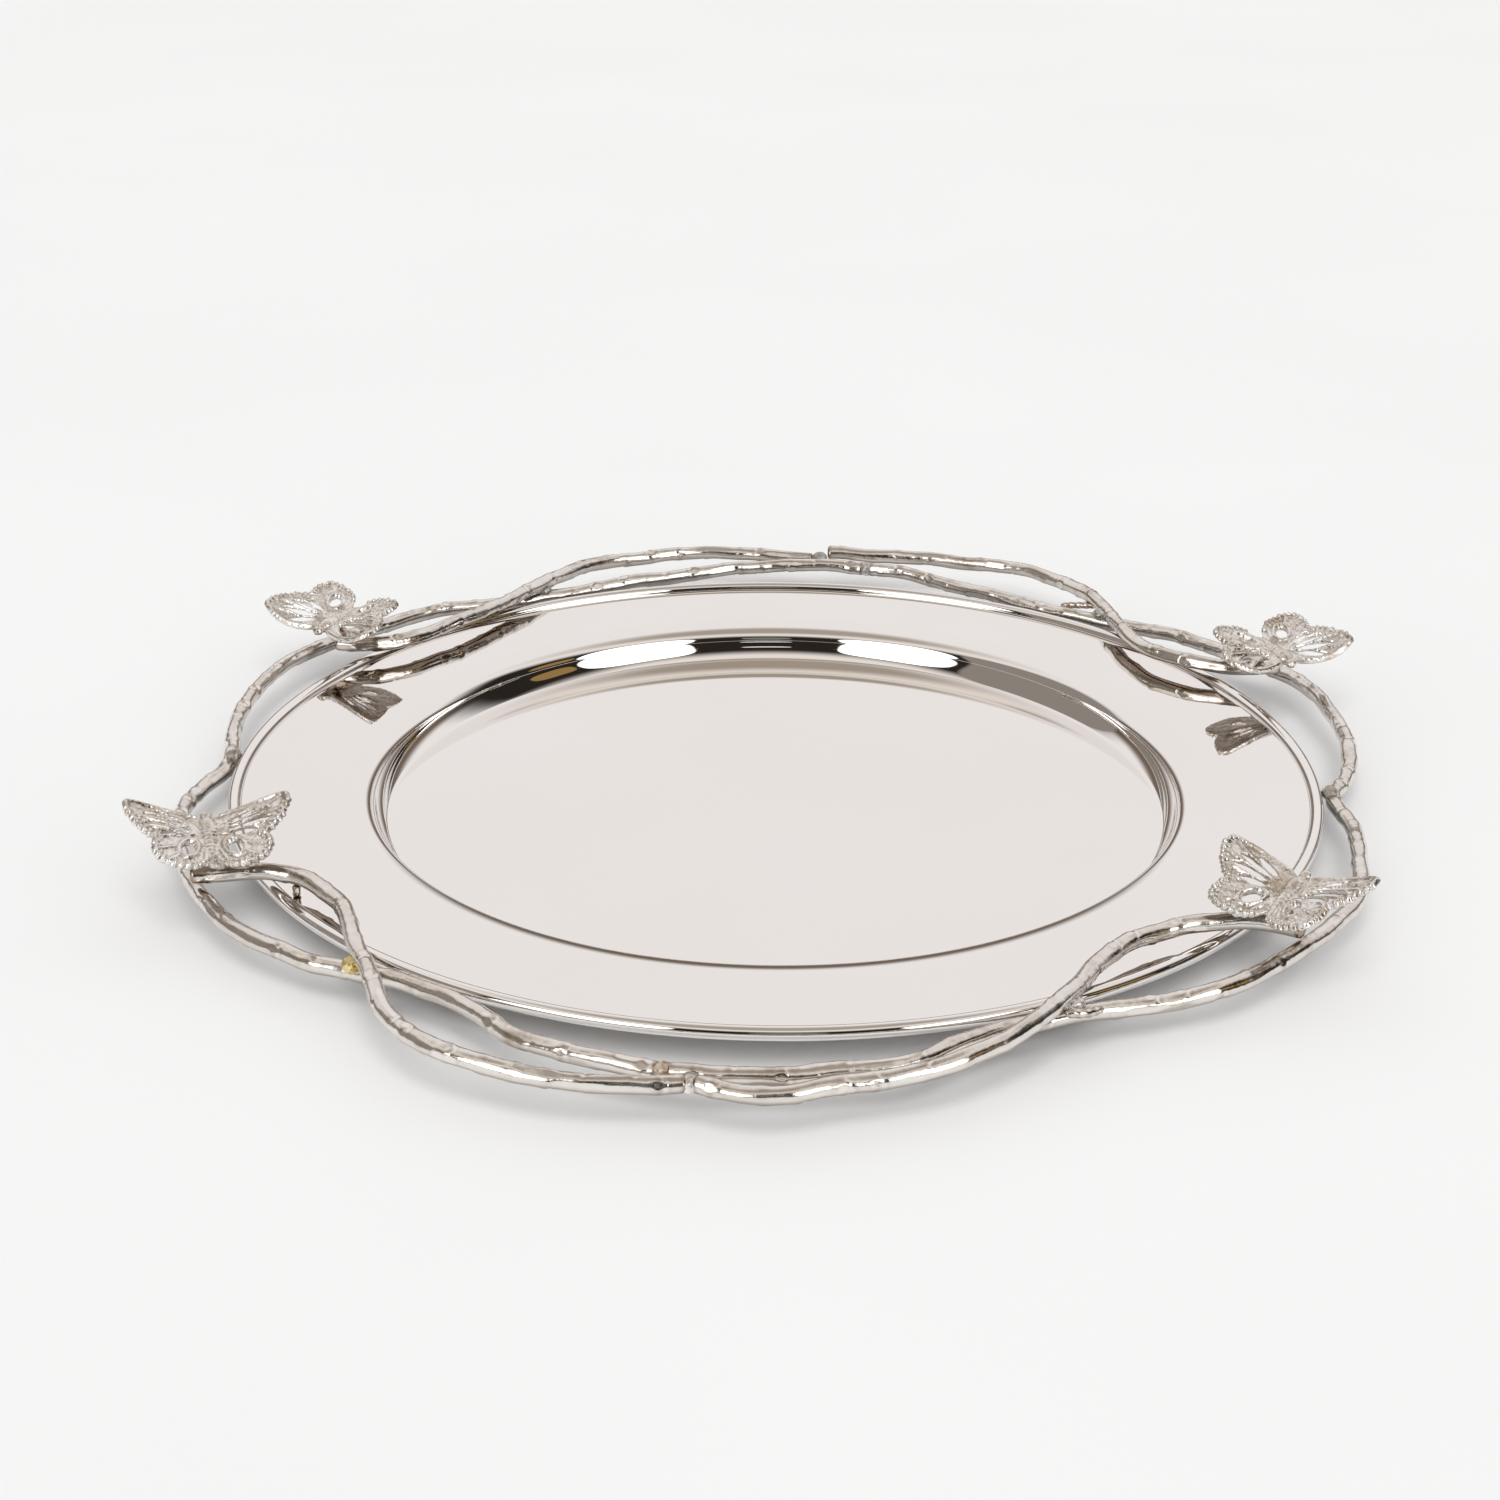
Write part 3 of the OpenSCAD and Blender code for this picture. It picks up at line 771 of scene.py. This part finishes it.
def studio():
    """A pale cove behind, dim above, and a dark room in front with a soft box on each side."""
    world = bpy.data.worlds.new("studio")
    bpy.context.scene.world = world
    world.use_nodes = True
    tree = world.node_tree
    background = tree.nodes["Background"]
    place = tree.nodes.new("ShaderNodeTexCoord")
    split = tree.nodes.new("ShaderNodeSeparateXYZ")
    tree.links.new(place.outputs["Generated"], split.inputs["Vector"])
    forward = add_math(tree, "MULTIPLY", split.outputs["Y"], -1.0)
    bearing = add_math(tree, "ARCTAN2", split.outputs["X"], forward)
    elevation = add_math(tree, "ARCSINE", split.outputs["Z"])
    aside = add_math(tree, "ABSOLUTE", bearing)

    cove = blend_to(tree, fade(tree, elevation, 7, 17), SKY_HORIZON, SKY_COVE)
    cove = blend_to(tree, fade(tree, elevation, 45, 80), cove, SKY_TOP)
    room = blend_to(tree, fade(tree, elevation, 34, 52), SKY_DARK, SKY_WARM)
    room = blend_to(tree, fade(tree, elevation, 54, 74), room, SKY_TOP)
    sky = blend_to(tree, fade(tree, aside, 100, 125), room, cove)
    for centre, half, tint in SOFT_BOXES:
        mask = tree.nodes.new("ShaderNodeClamp")
        tree.links.new(rounded_box(tree, bearing, elevation, centre, half), mask.inputs["Value"])
        sky = blend_to(tree, mask.outputs["Result"], sky, tint)
    ray = tree.nodes.new("ShaderNodeLightPath")
    sky = blend_to(tree, ray.outputs["Is Diffuse Ray"], sky, FILL_LIGHT)
    tree.links.new(sky, background.inputs["Color"])

    data = bpy.data.lights.new("overhead", "SUN")
    data.energy = OVERHEAD
    data.angle = math.radians(OVERHEAD_SPREAD)
    lamp = bpy.data.objects.new("overhead", data)
    lamp.rotation_euler = (*(math.radians(tilt) for tilt in OVERHEAD_TILT), 0)
    lamp.visible_glossy = False
    bpy.context.scene.collection.objects.link(lamp)


def floor():
    mesh = bpy.data.meshes.new("floor")
    corners = [(x * FLOOR_HALF, y * FLOOR_HALF, 0) for x, y in ((-1, -1), (1, -1), (1, 1), (-1, 1))]
    mesh.from_pydata(corners, [], [(0, 1, 2, 3)])
    sheet = bpy.data.objects.new("floor", mesh)
    sheet.location.z = FLOOR_Z
    bpy.context.scene.collection.objects.link(sheet)
    material = bpy.data.materials.new("floor_white")
    material.use_nodes = True
    tree = material.node_tree
    shader = tree.nodes["Principled BSDF"]
    shader.inputs["Roughness"].default_value = 0.6
    shader.inputs["Specular IOR Level"].default_value = 0.2
    paper = add_ramp(tree, add_noise(tree, 3.0, 2.0),
                     [(0.3, (0.82, 0.818, 0.818)), (0.7, (0.84, 0.838, 0.838))])
    tree.links.new(paper, shader.inputs["Base Color"])
    mesh.materials.append(material)


# ---------------------------------------------------------------- build
bpy.context.scene.view_settings.view_transform = "Standard"
camera()
studio()
floor()
ROD = nickel_rod()
make_dish(mirror_steel())
RODS = {
    "ring_rod_left": RING_LEFT, "ring_rod_right": RING_RIGHT,
    "arc_rod_front_left": ARC_FRONT_LEFT, "arc_rod_front_right": ARC_FRONT_RIGHT,
    "arc_rod_back_left": ARC_BACK_LEFT, "arc_rod_back_right": ARC_BACK_RIGHT,
}
for seed, (node, bends) in enumerate(RODS.items()):
    make_rod("hammered_" + node, bends, ROD_R, seed + 3, ROD, node)
make_twig("twig_prong_front_right", PRONG_FRONT_RIGHT, PRONG_R, 1, ROD, "prong_front_right")
make_twig("twig_prong_back_right", PRONG_BACK_RIGHT, PRONG_R, 2, ROD, "prong_back_right")
make_twig("twig_rest_stub", REST_STUB, PRONG_R, 3, ROD, "rest_stub_front_left")

CAST = nickel_cast()
for seed, (corner, place) in enumerate(BUTTERFLIES.items()):
    make_butterfly("cast_butterfly_" + corner, place, seed + 11, CAST, "butterfly_" + corner)
SOLDER = {
    "bright": solder_metal("solder_bright", (0.6, 0.56, 0.51), (0.9, 0.885, 0.86), 0.12),
    "dull": solder_metal("solder_dull", (0.4, 0.38, 0.36), (0.68, 0.665, 0.65), 0.3),
    "dark": solder_metal("solder_dark", (0.25, 0.2, 0.16), (0.6, 0.56, 0.52), 0.25),
    "brown": solder_metal("solder_brown", (0.42, 0.25, 0.13), (0.8, 0.7, 0.6), 0.25),
    "brass": solder_metal("solder_brass", (0.5, 0.33, 0.08), (0.86, 0.74, 0.38), 0.18),
}
for seed, (corner, (*place, tone)) in enumerate(SOLDER_DROPS.items()):
    make_drop("drop_" + corner, place, seed * 3.7, SOLDER[tone], "solder_" + corner)
